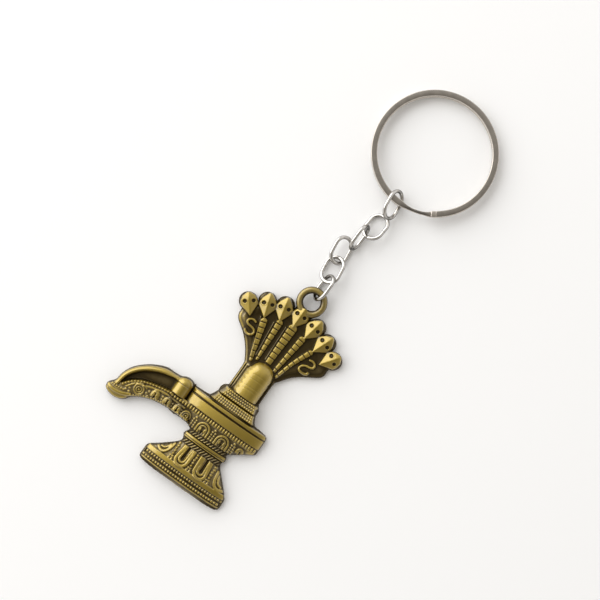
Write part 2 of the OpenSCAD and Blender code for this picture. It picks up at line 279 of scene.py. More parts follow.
def bead(x, y, rx, ry=None, h=0.3, turn=0.0, base=None, sink=0.04):
    ry = ry or rx
    r = max(rx, ry)
    w = window(x - r, x + r, y - r, y + r)
    dx, dy = X[w] - x, Y[w] - y
    c, s = math.cos(turn), math.sin(turn)
    u, v = dx * c + dy * s, -dx * s + dy * c
    t = (u / rx) ** 2 + (v / ry) ** 2
    if base is None:
        i = min(NX - 1, max(0, int(round((x - GX[0]) / STEP))))
        j = min(NY - 1, max(0, int(round((y - GY[0]) / STEP))))
        base = Z[i, j]
    # follow the slope under the bead so that a bead on a flank stays proud
    f = Z[w] * 0.6 + base * 0.4 - sink + h * np.sqrt(np.clip(1 - t, 0, 1))
    Z[w] = np.where(t < 1, np.maximum(Z[w], f), Z[w])


def ridge(path, half, h, closed=False, flat=0.0, pad=0.3, k=0.06):
    """A raised half-round bar along a line, lying on what is under it."""
    P = np.asarray(path, float)
    w = around(P, half + pad)
    d = seg_dist(P, X[w], Y[w], closed=closed)
    t = np.clip((d - flat) / (half - flat), 0, 1)
    f = Z[w] + h * np.sqrt(1 - t * t)
    Z[w] = np.where(d < half, f, Z[w])


def groove(path, half, depth, closed=False):
    P = np.asarray(path, float)
    w = around(P, half + 0.2)
    d = seg_dist(P, X[w], Y[w], closed=closed)
    Z[w] -= depth * smooth(1 - d / half)


def lift(mask_fn, amount):
    Z[:] = Z + amount * mask_fn


# ---- foot: rim, bead rows, smooth band, flare
A_FOOT = lambda y: 10.75 - 5.45 * np.clip((y + 15.2) / 5.1, 0, 1)
X_FOOT = lambda y: -0.55 + 0.28 * np.clip((y + 15.2) / 5.1, 0, 1)
C_FOOT = lambda y: 3.45 - 0.75 * np.clip((y + 15.2) / 5.1, 0, 1)
lathe(-19.2, -18.25, -0.55, 10.7, lambda y: 2.3 + 0.9 * smooth((y + 19.4) / 1.1), 1.0)
lathe(-18.3, -17.98, -0.55, 10.85, 3.42, 1.15)
lathe(-18.0, -16.0, -0.55, 10.7, 3.12, 1.0)
lathe(-17.12, -16.9, -0.55, 10.7, 2.98, 0.95)
lathe(-16.05, -14.75, -0.55, 10.85, lambda y: 3.45 + 0.05 * np.cos((y + 15.4) * 2), 1.1, 0.5)
lathe(-14.85, -10.1, X_FOOT, A_FOOT, lambda y: C_FOOT(y) - 0.22, 1.0)
for row, shift in ((-17.5, 0.0), (-16.45, 0.36)):
    for i in range(31):
        x = -11.1 + shift + i * 0.715
        if x < 10.15:
            bead(x, row, 0.33, 0.38, 0.36)

# ---- petals of the flare
def petal_path(xc, yb, R, top, squeeze=0.05):
    a = np.linspace(math.pi, 2 * math.pi, 15)
    P = [(xc - R, y) for y in np.linspace(top, yb, 6)[:-1]]
    P += [(xc + R * math.cos(t), yb + R * math.sin(t)) for t in a]
    P += [(xc + R, y) for y in np.linspace(yb, top, 6)[1:]]
    P = np.array(P)
    k = 1 - squeeze * (P[:, 1] - yb)
    P[:, 0] = X_FOOT(-13) + (P[:, 0] - X_FOOT(-13)) * (1 - 0.035 * (P[:, 1] + 14))
    P[:, 0] = P[:, 0] * 1.0
    return P


for xc in (-3.0, 2.25):
    ridge(petal_path(xc, -13.4, 1.52, -10.3), 0.42, 0.40, flat=0.16)
    ridge(petal_path(xc, -13.25, 0.80, -10.3), 0.32, 0.34, flat=0.10)
    groove(np.array([(xc * 0.98, -10.4), (xc, -13.2)]), 0.50, 0.42)
# outer petals, foreshortened where the flare turns away
ridge(spline([(-6.45, -11.4), (-6.6, -12.4), (-7.0, -13.5), (-7.7, -14.3), (-8.6, -14.35), (-9.3, -13.95)], 6), 0.38, 0.38, flat=0.12)
ridge(spline([(-7.0, -12.0), (-7.35, -12.8), (-7.95, -13.4), (-8.7, -13.55)], 6), 0.26, 0.3, flat=0.06)
ridge(spline([(5.75, -11.0), (5.85, -12.2), (6.15, -13.4), (6.9, -14.35), (7.9, -14.55), (8.9, -14.3)], 6), 0.38, 0.38, flat=0.12)
ridge(spline([(6.45, -11.6), (6.7, -12.6), (7.25, -13.5), (8.1, -13.85)], 6), 0.26, 0.3, flat=0.06)
for xc in (-5.5, -0.42, 4.62):
    for n, y in enumerate((-10.6, -11.28, -11.96, -12.64)):
        bead(xc + 0.08 * math.sin(n * 2.1), y, 0.36, h=0.38)
    for y, e in ((-13.35, 0.0), (-14.0, 0.26), (-14.62, 0.38)):
        bead(xc - e, y, 0.33, h=0.34)
        bead(xc + e, y, 0.33, h=0.34)

# ---- waist
lathe(-10.15, -8.8, -0.32, 5.45, 2.62, 0.9)
lathe(-7.5, -6.45, -0.32, 5.35, 2.72, 0.9)
w = window(-7, 6, -10.3, -6.3)
rope = 0.5 + 0.5 * np.sin((X[w] * 0.86 - Y[w] * 0.62) * 2 * math.pi / 0.70)
t = (X[w] + 0.32) / 5.6
rows = pulse(Y[w], -10.02, -8.9, 0.12) + pulse(Y[w], -7.4, -6.55, 0.12)
Z[w] += 0.34 * (rope**0.7 - 0.5) * rows * (np.abs(t) < 1)
lathe(-8.72, -7.58, -0.35, 5.75, 3.02, 1.0)
lathe(-8.42, -8.22, -0.35, 5.75, 2.72, 0.95, soft=0.08)

# ---- basin
lathe(-6.5, -3.1, -0.1, lambda y: 10.1 - 4.9 * np.clip((-3.3 - y) / 3.2, 0, 1),
      lambda y: 3.25 - 0.42 * np.clip((-3.1 - y) / 3.4, 0, 1), 1.0)
lathe(-3.15, -1.7, 0.0, 10.15, 3.35, 1.0)
lathe(-1.72, 0.62, 0.0, 10.3, lambda y: 3.86 - 0.035 * (y + 0.55) ** 2, 1.15)
lathe(0.62, 0.95, 0.0, 10.2, 3.45, 1.0, soft=0.08)
lathe(0.95, 1.92, 0.0, 10.28, lambda y: 4.05 - 0.28 * (y - 1.42) ** 2, 1.2)
Z_plain = Z.copy()
w = window(-12.2, -6.6, -6.0, -1.6)
x, y = X[w], Y[w]
bridge = 1.3 + 1.15 * smooth((x + 12.2) / 0.5) * smooth((-6.6 - x) / 1.2) * smooth((y + 6.0) / 0.7) * smooth((-1.6 - y) / 0.15)
Z[w] = np.maximum(Z[w], np.where(x < -6.6, bridge, 0))
for i in range(28):
    x = -9.65 + i * 0.715
    if abs(x) < 10:
        bead(x, -2.4, 0.32, 0.62, 0.42)


def medallion(x, y, R, flat=1.0, twin=True):
    a = np.linspace(0, 2 * math.pi, 36, endpoint=False)
    P = np.c_[x + R * flat * np.cos(a), y + R * np.sin(a)]
    ridge(P, 0.25, 0.34, closed=True)
    P2 = np.c_[x + R * 0.56 * flat * np.cos(a), y + R * 0.56 * np.sin(a)]
    if twin:
        for s in (-0.42, 0.42):
            bead(x + s * flat, y - 0.1, 0.27 * flat, 0.72, 0.42)
    else:
        ridge(P2, 0.2, 0.26, closed=True)
        bead(x, y, 0.3, 0.3, 0.4)


def arch(x, y, R, flat=1.0, foot=-6.15):
    """A round-headed niche with a smaller one in it and two upright petals."""
    for r, half, h in ((R, 0.30, 0.36), (R * 0.58, 0.24, 0.28)):
        a = np.linspace(math.pi, 0, 13)
        P = [(x - r * flat * 1.0, foot)] + [(x + r * flat * math.cos(t), y + r * math.sin(t)) for t in a]
        P += [(x + r * flat, foot)]
        ridge(np.array(P), half * max(flat, 0.8), h, flat=0.07)
    for q in (-0.45, 0.45):
        bead(x + q * flat * R * 0.72, y - 0.12, 0.25 * flat, 0.62, 0.42)
    groove(np.array([(x, y - 0.5), (x, foot)]), 0.22, 0.35)


arch(-3.05, -5.0, 1.55)
arch(2.3, -5.0, 1.55)
arch(7.0, -4.75, 1.05, 0.75, -5.0)
medallion(-8.1, -4.75, 1.1, 0.95, False)
for xc in (-5.75, -0.38, 5.0):
    bead(xc, -3.5, 0.36, h=0.36)
    for k, y in enumerate((-4.15, -4.8, -5.45, -6.0)):
        bead(xc - 0.36, y, 0.31, h=0.34)
        bead(xc + 0.36, y, 0.31, h=0.34)

# ---- spout
RIM = spline([(-14.3, 1.38), (-17.0, 1.12), (-19.0, 0.62), (-21.2, -0.45), (-23.1, -1.85),
              (-24.55, -3.6), (-25.4, -5.4), (-25.75, -7.5)], 8)
CHANNEL = spline([(-14.5, 0.9), (-17, 0.48), (-19.6, -0.45), (-22.2, -2.05), (-23.9, -3.9),
                  (-24.75, -5.6), (-24.9, -7.0), (-24.1, -6.1), (-22.9, -4.95), (-21, -3.75),
                  (-18, -2.85), (-14.5, -2.1), (-13.4, -1.2)], 4, True)
sp = area(SPOUT)
ch = area(CHANNEL)
left = smooth((-10.4 - X) / 1.4)
# low swelling body under the ornaments
Z[:] = np.where(sp > 0, np.maximum(Z, Z_plain + left * 1.05 * np.sqrt(1 - (1 - np.clip(sp / 2.6, 0, 1)) ** 2)), Z)
Z[:] = np.where(ch > -0.3, Z + (1.15 - Z) * smooth((ch + 0.18) / 0.5) * (X < -12), Z)
ridge(RIM, 0.62, 0.62, flat=0.1)
UNDER = spline([(-13.9, -2.35), (-15.4, -2.42), (-17.4, -2.88), (-19.4, -3.42), (-21.2, -4.2),
                (-22.6, -5.1), (-23.7, -6.2), (-24.6, -7.4)], 10)


def along(path, pitch, start=0.0, stop=None):
    P = np.asarray(path, float)
    L = np.r_[0, np.cumsum(np.hypot(*np.diff(P, axis=0).T))]
    s = np.arange(start, L[-1] if stop is None else stop, pitch)
    x = np.interp(s, L, P[:, 0])
    y = np.interp(s, L, P[:, 1])
    dx = np.interp(s + 0.01, L, P[:, 0]) - x
    dy = np.interp(s + 0.01, L, P[:, 1]) - y
    return [(a, b, math.atan2(d, c)) for a, b, c, d in zip(x, y, dx, dy)]


for x, y, a in along(UNDER, 0.74):
    bead(x, y, 0.36, 0.40, 0.46, a)
for x, y in ((-13.4, -2.5), (-12.65, -2.52), (-11.9, -2.52), (-11.15, -2.5), (-10.4, -2.48)):
    bead(x, y, 0.34, 0.48, 0.42)
MID = spline([(-9.4, -3.45), (-11.0, -3.3), (-12.6, -3.25), (-14.6, -3.2), (-16.8, -3.55), (-18.8, -4.1), (-20.0, -4.6)], 8)
ridge(MID, 0.26, 0.28, flat=0.06)
SMILE = spline([(-19.2, -4.7), (-20.6, -4.55), (-21.7, -5.1), (-22.6, -6.0), (-23.3, -7.0)], 8)
ridge(SMILE, 0.26, 0.26, flat=0.05)
medallion(-20.5, -6.0, 1.15, 1.0, False)
arch(-16.7, -4.75, 0.80, 1.0, -5.5)
arch(-13.5, -4.45, 0.80, 1.0, -5.2)
arch(-10.7, -4.45, 0.76, 1.0, -5.2)
for x, y in ((-18.2, -5.0), (-18.6, -5.7), (-18.0, -6.2), (-14.9, -4.2), (-12.15, -4.2), (-14.85, -4.9),
             (-12.15, -4.85), (-9.6, -4.2), (-9.5, -4.9), (-22.5, -6.9), (-23.1, -7.6), (-22.2, -7.7)):
    bead(x, y, 0.29, h=0.3)
LOWER = spline([(-6.9, -5.65), (-9, -5.42), (-11.5, -5.36), (-14, -5.5), (-16.5, -5.98), (-18.6, -6.72),
                (-20.3, -7.6), (-21.5, -8.35)], 8)
for x, y, a in along(LOWER, 0.6):
    bead(x, y, 0.29, 0.3, 0.34, a)
for x, y, a in along(np.array([(-27.0, -8.15), (-26, -8.3), (-24.6, -8.15), (-23.2, -7.95)]), 0.6):
    bead(x, y, 0.28, 0.3, 0.34, a)
NOSE = spline([(-27.2, -8.9), (-26.3, -9.25), (-25, -9.35), (-23.6, -9.1), (-22.4, -8.65), (-21.6, -8.2)], 8)
ridge(NOSE, 0.42, 0.36, flat=0.1)
for x, y, a in along(spline([(-27.2, -9.7), (-26.2, -10.3), (-24.8, -10.5), (-23.4, -10.2), (-22.3, -9.5)], 8), 0.42):
    bead(x, y, 0.2, 0.34, 0.22, a)

# ---- boss where the spout leaves the basin
w = window(-15, -10, -2.3, 3.1)
x, y = X[w], Y[w]
t = (x + 12.52) / 2.02
top = 1.02 + 1.75 * np.sqrt(np.clip(1 - t * t, 0, 1))
body = 1.35 + 2.05 * np.sqrt(np.clip(1 - t * t, 0, 1))
cap = 1.45 + 2.05 * np.sqrt(np.clip(1 - t * t - np.clip((y - 1.0) / 1.85, 0, 1) ** 2, 0, 1))
in_body = (np.abs(t) < 1) & (y > -1.85) & (y < 0.78)
in_cap = (np.abs(t) < 1) & (y >= 0.78) & (t * t + np.clip((y - 1.0) / 1.85, 0, 1) ** 2 < 1)
Z[w] = np.where(in_body, np.maximum(Z[w], body), Z[w])
Z[w] = np.where(in_cap, np.maximum(Z[w], cap), Z[w])
groove(np.array([(-14.5, 0.78), (-12.5, 0.86), (-10.5, 0.9)]), 0.16, 0.3)
groove(np.array([(-10.42, 2.1), (-10.42, -1.75)]), 0.16, 0.45)

# ---- collar
def block(y0, y1, xl, xr, fl, fr, top, soft=0.10):
    """A slab with a flat front and sloped flanks."""
    w = window(-7.5, 7.5, y0 - 0.3, y1 + 0.3)
    x, y = X[w], Y[w]
    L, Rr = xl(y), xr(y)
    zl = 1.15 + (top - 1.15) * np.clip((x - L) / fl, 0, 1) ** 0.8
    zr = 1.15 + (top - 1.15) * np.clip((Rr - x) / fr, 0, 1) ** 0.8
    f = np.minimum(zl, zr) + 0.12 * (1 - ((x - 0.2) / 5) ** 2)
    g = pulse(y, y0, y1, soft) * ((x > L) & (x < Rr))
    Z[w] = np.where(g > 0, Z[w] + (np.maximum(f, Z[w]) - Z[w]) * g, Z[w])


block(4.38, 6.5, lambda y: -5.45 + 0.42 * (y - 4.4), lambda y: 5.2 - 0.28 * (y - 4.4), 1.25, 0.75, 3.55)
block(2.0, 4.30, lambda y: -6.4 + 0.38 * (y - 2.2), lambda y: 6.35 - 0.45 * (y - 2.2), 1.15, 0.8, 3.7)
for n, y in enumerate((6.15, 5.5, 4.85)):
    for i in range(15):
        xx = -4.05 + i * 0.60 + (0.3 if n % 2 else 0)
        if xx < 4.5:
            bead(xx, y, 0.29, 0.31, 0.32)
for n, y in enumerate((3.9, 3.3, 2.7)):
    for i in range(18):
        xx = -4.65 - 0.12 * n + i * (0.58 + 0.014 * n)
        if xx < 5.2:
            bead(xx, y, 0.28, 0.29, 0.30)
lathe(1.95, 2.35, 0.0, 6.15, 3.75, 1.1)

# ---- pillar and the column behind it
w = window(-4.5, 4.6, 6.3, 16.3)
x, y = X[w], Y[w]
left = 3.1 + 0.5 * smooth((14.2 - y) / 2.2)
t2 = np.abs(np.where(x < 0.62, (x - 0.62) / left, (x - 0.62) / 2.98)) ** 2.7 + (np.clip(y - 12.6, 0, 9) / 3.3) ** 2.2
pil = 1.35 + 2.85 * np.sqrt(np.clip(1 - t2, 0, 1))
flute = np.abs(np.sin((y - 6.75) * math.pi / 1.25)) ** 0.6
pil = pil - 0.22 * (1 - flute) * smooth((-1.55 - x) / 0.7) * smooth((13.6 - y) / 0.6)
Z[w] = np.where((t2 < 1) & (y > 6.5), np.maximum(Z[w], pil), Z[w])
groove(np.array([(-3.62, 7.0), (-3.62, 13.2)]), 0.26, 0.35)
groove(np.array([(3.82, 7.0), (3.82, 13.2)]), 0.24, 0.3)
for yy, x0, x1 in ((12.5, -0.9, 3.0), (11.3, -1.2, 3.1), (9.35, -1.3, 3.1), (8.6, -1.2, 3.0)):
    a = np.linspace(x0, x1, 12)
    groove(np.c_[a, yy + 0.10 * np.cos((a - 1) * 0.9)], 0.16, 0.05)

# ---- hood: convex plate, necks, scrolls
w = window(-15, 16, 12.4, 32.2)
hd = smax(hood_d[w], pad_d[w], 0.2)
Z[w] = np.where((hd > 0) & (Y[w] > 13.0), smax(Z[w], 0.95 + 0.75 * smooth(hd / 1.6) - 0.2 * smooth((hd - 1.7) / 1.5), 0.15), Z[w])
extra = np.zeros((NX, NY))  # patina wiped into drawn lines and recesses
# patina on the hood's ground, with painted shade: it runs out to the outline on the right but stops short of it on the
# lit left
ground_patina_and_shade = np.where((hood_d > np.where(X > 3, 0.02, 0.5)) & (Y > 13.6), 1.0, 0.0)


def neck(p0, p1, w0, w1, scutes, h0=0.75, h1=1.15, bend=0.0):
    p0, p1 = np.array(p0), np.array(p1)
    mid = (p0 + p1) / 2
    d = p1 - p0
    L = math.hypot(*d)
    nrm = np.array([-d[1], d[0]]) / L
    P = spline([p0, mid + nrm * bend, p1], 8)
    w = around(P, w1 + 0.4)
    x, y = X[w], Y[w]
    dist, s = seg_dist(P, x, y, run=True)
    f = np.clip(s / L, 0, 1)
    half = w0 + (w1 - w0) * f
    cuts = np.array(scutes)
    near = np.full(x.shape, 9.0)
    for c in cuts:
        near = np.minimum(near, np.abs(s - c * L))
    prof = np.clip((half - dist) / 0.34, 0, 1)
    top = (h0 + (h1 - h0) * f) * np.sqrt(1 - (1 - prof) ** 2)
    cut = smooth(1 - near / 0.19)
    top = top * (1 - 0.34 * cut) + 0.10 * np.clip(1 - dist / half, 0, 1) * prof
    zn = 1.22 + top
    Z[w] = np.where(dist < half, np.maximum(Z[w], zn), Z[w])
    extra[w] = np.maximum(extra[w], np.where(dist < half, 0.34 * cut, 0))
    ground_patina_and_shade[w] = np.where(dist < half - 0.05, 0, ground_patina_and_shade[w])


def cuts(n, first=0.06, last=0.97):
    return [first + (last - first) * (i / n) ** 0.92 for i in range(n + 1)]


neck((-3.35, 14.6), (-6.0, 23.7), 0.52, 0.92, cuts(6))
neck((-2.25, 15.6), (-2.80, 25.4), 0.50, 0.93, cuts(6))
neck((0.42, 15.4), (0.45, 26.0), 0.80, 1.22, cuts(7))
neck((2.70, 15.6), (3.70, 25.2), 0.56, 0.95, cuts(6))
neck((3.75, 14.7), (7.05, 23.9), 0.46, 0.78, cuts(6), bend=0.3)
# a fine flange on the lit side of each neck
for a, b in (((-3.9, 15.2), (-7.2, 24.1)), ((-3.0, 16.2), (-3.95, 24.8)), ((-0.62, 16.6), (-1.0, 25.4))):
    ridge(np.array([a, b]), 0.24, 0.42, flat=0.04)
SCROLL = spline([(-7.4, 22.4), (-8.1, 22.6), (-8.9, 22.25), (-9.12, 21.55), (-8.65, 21.08), (-7.75, 20.95),
                 (-6.9, 20.75), (-6.42, 20.2), (-6.5, 19.6), (-7.1, 19.15), (-7.9, 19.15), (-8.5, 19.55)], 8)
SCROLL2 = spline([(8.0, 22.4), (8.85, 22.5), (9.6, 22.05), (9.62, 21.35), (9.0, 21.0), (8.1, 20.85), (7.4, 20.5),
                  (6.95, 19.9), (7.0, 19.3), (7.6, 18.95), (8.4, 18.95), (9.1, 19.2), (9.35, 19.6)], 8)
for P in (SCROLL, SCROLL2):
    ridge(P, 0.34, 0.62, flat=0.10)
    w = around(P, 0.4)
    ground_patina_and_shade[w] = np.where(seg_dist(P, X[w], Y[w]) < 0.32, 0, ground_patina_and_shade[w])

# ---- heads
# painted shade on the pads round each head, made stronger on the right, away from the light, where it is summed
head_pad_shade = np.where(pad_d > 0, 1.0, 0.0)
w = window(-15, 16, 22, 32.4)
pz = 0.75 + 1.05 * np.sqrt(1 - (1 - np.clip(pad_d[w] / 0.95, 0, 1)) ** 2)
Z[w] = np.where(pad_d[w] > 0, smax(Z[w], pz, 0.15), Z[w])
for (tx, ty), (ox, oy), hw in HEADS:
    d = np.array([ox - tx, oy - ty])
    L = math.hypot(*d)
    u0 = d / L
    w = window(min(tx, ox) - 3, max(tx, ox) + 3, min(ty, oy) - 3, max(ty, oy) + 3)
    x, y = X[w] - tx, Y[w] - ty
    u = x * u0[0] + y * u0[1]
    v = x * u0[1] - y * u0[0]
    K = np.array([(0, -0.05), (2.75, -hw), (3.6, -hw * 0.98), (4.7, -hw * 0.72), (L, -0.42), (L + 0.12, 0),
                  (L, 0.42), (4.7, hw * 0.72), (3.6, hw * 0.98), (2.75, hw), (0, 0.05)])
    q = np.where(inside(K, u, v), 1, -1) * seg_dist(K, u, v, closed=True)
    drop = 0.1 if abs(tx) < 1 else 0.5
    ridge_z = 2.72 + 0.55 * np.clip(u / L, 0, 1) - drop * np.clip((u - L * 0.66) / (L * 0.34), 0, 1) ** 2
    top = ridge_z - 0.50 * np.sqrt(v * v + 0.03)
    top = np.minimum(top, 1.2 + 7.0 * (q + 0.16))
    Z[w] = np.where(q > -0.14, np.maximum(Z[w], top), Z[w])
    ground_patina_and_shade[w] = np.where(q > -0.1, 0, ground_patina_and_shade[w])
    head_pad_shade[w] = np.where(q > -0.05, 0, head_pad_shade[w])
    for s in (-1, 1):
        r = np.hypot(u - 3.45, v - s * 1.02)
        Z[w] = Z[w] - 0.42 * smooth((0.52 - r) / 0.22) + 0.05 * np.exp(-(((r - 0.6) / 0.1) ** 2))
        extra[w] = np.maximum(extra[w], 0.5 * smooth((0.52 - r) / 0.2))

# a casting is never crisp: soften by a tenth of a millimetre
def blur(a, sigma, mask=None):
    n = max(1, int(round(3 * sigma / STEP)))
    k = np.exp(-0.5 * (np.arange(-n, n + 1) * STEP / sigma) ** 2)
    k /= k.sum()
    def one(b):
        p = np.pad(b, ((n, n), (0, 0)), mode="edge")
        b = sum(k[i] * p[i : i + b.shape[0]] for i in range(len(k)))
        p = np.pad(b, ((0, 0), (n, n)), mode="edge")
        return sum(k[i] * p[:, i : i + b.shape[1]] for i in range(len(k)))
    if mask is None:
        return one(a)
    m = one(mask.astype(float))
    return one(a * mask) / np.maximum(m, 1e-6)


mask = dist_out > -0.02
Z = np.where(mask, blur(Z, 0.055, mask), Z)
# slow unevenness of hand-finished metal
n1 = blur(rng.standard_normal((NX, NY)), 0.9)
n1 /= np.abs(n1).max()
n2 = blur(rng.standard_normal((NX, NY)), 0.25)
n2 /= np.abs(n2).max()
Z = Z + 0.05 * n1 + 0.012 * n2

cav = (blur(Z, 0.22, mask) - Z) / 0.10 * 0.55 + (blur(Z, 0.75, mask) - Z) / 0.42 * 0.55
# painted shade along the outline, where the edge rounds down to the floor
outline_shade = 1 - smooth(dist_out / 0.7)
low = smooth((1.45 - Z) / 0.5) * smooth((dist_out - 0.5) / 0.4)
# patina left on by hand: ornamented bands keep more than the wiped smooth ones; the plain lower bevel of the foot,
# which faces away from the light, and the lit left flank of the pillar get painted shade
kept_patina_and_shade = np.zeros((NX, NY))
for y0, y1, x0, x1, v in (
    (-10.2, -8.8, -7, 6, 0.62), (-7.5, -6.3, -7, 6, 0.62), (-8.75, -7.55, -7, 6, 0.26), (-19.6, -18.3, -12, 11, 0.80),
    (-18.3, -15.9, -12, 11, 0.34), (-14.9, -10.2, -10, 9, 0.10), (-6.4, -3.1, -11, 8.4, 0.32), (-3.1, -1.75, -11, 10.5, 0.16),
    (2.2, 6.6, -6.6, 6.6, 0.22), (13.5, 25.5, -9, 9.5, 0.11), (25.5, 32, -15, 16, 0.07), (6.6, 13.6, -3.2, -1.4, 0.10),
):
    kept_patina_and_shade = np.maximum(kept_patina_and_shade, v * pulse(Y, y0, y1, 0.25) * pulse(X, x0, x1, 0.6))
kept_patina_and_shade = np.maximum(kept_patina_and_shade, 0.16 * smooth((-2.2 - Y) / 0.5) * smooth((-11 - X) / 1.0) * smooth((Y + 8.4) / 0.5))
kept_patina_and_shade = np.maximum(kept_patina_and_shade, 0.46 * pulse(X, -14.5, -8.0, 1.6) * pulse(Y, -6.4, -2.7, 0.5))
ground_patina_and_shade[((X - 0.62) / 3.05) ** 2 + (np.clip(Y - 12.6, 0, 9) / 3.35) ** 2 < 1] = 0
ground_patina_and_shade = blur(ground_patina_and_shade * smooth((hood_d - np.where(X > 3, -0.3, 0.45)) / 0.5), 0.12)
# painted light: the ground's far left margin, where the light falls, is left lighter
ground_patina_and_shade *= 0.48 + 0.52 * smooth((X + 9.6 + 0.10 * (22 - Y)) / 1.6)
# patina from cavities, low ground, ornament bands and drawn lines, plus painted shade along the outline, round the
# heads, on the hood's ground, on the foot's lower bevel and on the pillar's left flank
patina_and_shade = np.clip(0.06 + cav * 0.60 + 0.75 * low + 0.16 * outline_shade + kept_patina_and_shade + extra + 0.72 * ground_patina_and_shade + 0.30 * blur(head_pad_shade, 0.10) * (0.7 + 0.3 * smooth(X / 6)) + 0.08 * n1 + 0.10 * n2, 0, 1)

# ------------------------------------------------ mesh with a clean outline
def relief_mesh(name):
    ins = dist_out > 0
    vid = -np.ones((NX, NY), int)
    vid[ins] = np.arange(ins.sum())
    verts = [np.c_[X[ins], Y[ins], Z[ins]]]
    patina_shade_lists = [patina_and_shade[ins]]
    n_in = int(ins.sum())
    full = ins[:-1, :-1] & ins[1:, :-1] & ins[1:, 1:] & ins[:-1, 1:]
    i, j = np.nonzero(full)
    quads = np.c_[vid[i, j], vid[i + 1, j], vid[i + 1, j + 1], vid[i, j + 1]]
    anyc = ins[:-1, :-1] | ins[1:, :-1] | ins[1:, 1:] | ins[:-1, 1:]
    bi, bj = np.nonzero(anyc & ~full)
    extra, extra_d, key = [], [], {}

    def cross(a, b):
        k = (a, b) if a < b else (b, a)
        if k not in key:
            da, db = dist_out[a], dist_out[b]
            t = da / (da - db)
            t = min(max(t, 0.02), 0.98)
            x = X[a] + t * (X[b] - X[a])
            y = Y[a] + t * (Y[b] - Y[a])
            key[k] = n_in + len(extra)
            extra.append((x, y, WALL))
            extra_d.append(0.55)
        return key[k]

    polys, rim = [], []
    for a, b in zip(bi, bj):
        ring = [(a, b), (a + 1, b), (a + 1, b + 1), (a, b + 1)]
        state = [bool(ins[c]) for c in ring]
        face, cuts_here = [], []
        for k in range(4):
            c, d = ring[k], ring[(k + 1) % 4]
            if state[k]:
                face.append(int(vid[c]))
            if state[k] != state[(k + 1) % 4]:
                e = cross(c, d)
                face.append(e)
                cuts_here.append((e, state[k]))
        if len(cuts_here) == 2 and len(face) >= 3:
            polys.append(face)
            # walk leaves the solid at the first True and comes back at the next
            out_e = [e for e, s in cuts_here if s][0]
            in_e = [e for e, s in cuts_here if not s][0]
            rim.append((out_e, in_e))
        elif len(cuts_here) == 4:
            # two opposite corners inside: two small corner triangles
            for k in range(4):
                if state[k]:
                    p = cross(ring[k - 1], ring[k])
                    q = cross(ring[k], ring[(k + 1) % 4])
                    polys.append([p, int(vid[ring[k]]), q])
                    rim.append((q, p))
    verts.append(np.array(extra))
    patina_shade_lists.append(np.array(extra_d))
    top = np.vstack(verts)
    dd = np.concatenate(patina_shade_lists)
    n = len(top)
    # wall rings, then one flat face behind, inset by the rounded edge
    E = np.array(extra)
    gx, gy = np.gradient(blur(dist_out, 0.12), STEP)
    ii = np.clip(np.round((E[:, 0] - GX[0]) / STEP).astype(int), 0, NX - 1)
    jj = np.clip(np.round((E[:, 1] - GY[0]) / STEP).astype(int), 0, NY - 1)
    g = np.c_[gx[ii, jj], gy[ii, jj]]
    g /= np.maximum(np.hypot(g[:, 0], g[:, 1])[:, None], 0.3)
    rings = [(0.0, 0.30), (0.0, 0.14), (0.045, 0.045), (0.13, 0.004)]
    verts = [top]
    for inset, z in rings:
        verts.append(np.c_[E[:, :2] + g * inset, np.full(len(E), z)])
    allv = np.vstack(verts)
    k = len(E)
    nxt = {p - n_in: q - n_in for p, q in rim}
    faces = [list(q) for q in quads.tolist()] + polys
    ring0 = [n_in] + [n + r * k for r in range(len(rings))]
    for p, q in nxt.items():
        for r in range(len(rings)):
            u, v = ring0[r], ring0[r + 1]
            faces.append([u + p, v + p, v + q, u + q])
    left_over = set(nxt)
    while left_over:
        start = min(left_over)
        loop, c = [], start
        while c in left_over:
            left_over.discard(c)
            loop.append(ring0[-1] + c)
            c = nxt[c]
        faces.append(loop[::-1])
    alld = np.concatenate([dd] + [np.full(k, v) for v in (0.40, 0.45, 0.42, 0.35)])
    me = bpy.data.meshes.new(name)
    me.from_pydata((allv * MM).tolist(), [], faces)
    me.update()
    at = me.attributes.new("patina_and_shade", "FLOAT", "POINT")
    at.data.foreach_set("value", alld.astype(np.float32))
    return me


def solid_sweep(name, centre, right, up, section, closed, patina_shade_of=None):
    """Sweep a section along points; right and up are the section's axes at each."""
    m = len(section)
    S = np.asarray(section)
    V = centre[:, None, :] + S[None, :, 0, None] * right[:, None, :] + S[None, :, 1, None] * up[:, None, :]
    k = len(centre)
    V = V.reshape(-1, 3)
    F = []
    for i in range(k if closed else k - 1):
        a, b = i * m, ((i + 1) % k) * m
        for j in range(m):
            j2 = (j + 1) % m
            F.append([a + j, a + j2, b + j2, b + j])
    if not closed:
        F.append(list(range(m))[::-1])
        F.append([(k - 1) * m + j for j in range(m)])
    me = bpy.data.meshes.new(name)
    me.from_pydata((V * MM).tolist(), [], F)
    me.update()
    at = me.attributes.new("patina_and_shade", "FLOAT", "POINT")
    val = np.zeros(len(V)) if patina_shade_of is None else patina_shade_of(V)
    at.data.foreach_set("value", np.asarray(val, np.float32))
    return me


def add(name, me, smooth_all=True):
    o = bpy.data.objects.new(name, me)
    bpy.context.scene.collection.objects.link(o)
    for p in me.polygons:
        p.use_smooth = smooth_all
    return o


def fix_normals(me):
    import bmesh
    bm = bmesh.new()
    bm.from_mesh(me)
    bmesh.ops.recalc_face_normals(bm, faces=bm.faces)
    bm.to_mesh(me)
    bm.free()


relief = relief_mesh("charm_cast")
fix_normals(relief)
charm = add("charm_cast", relief)

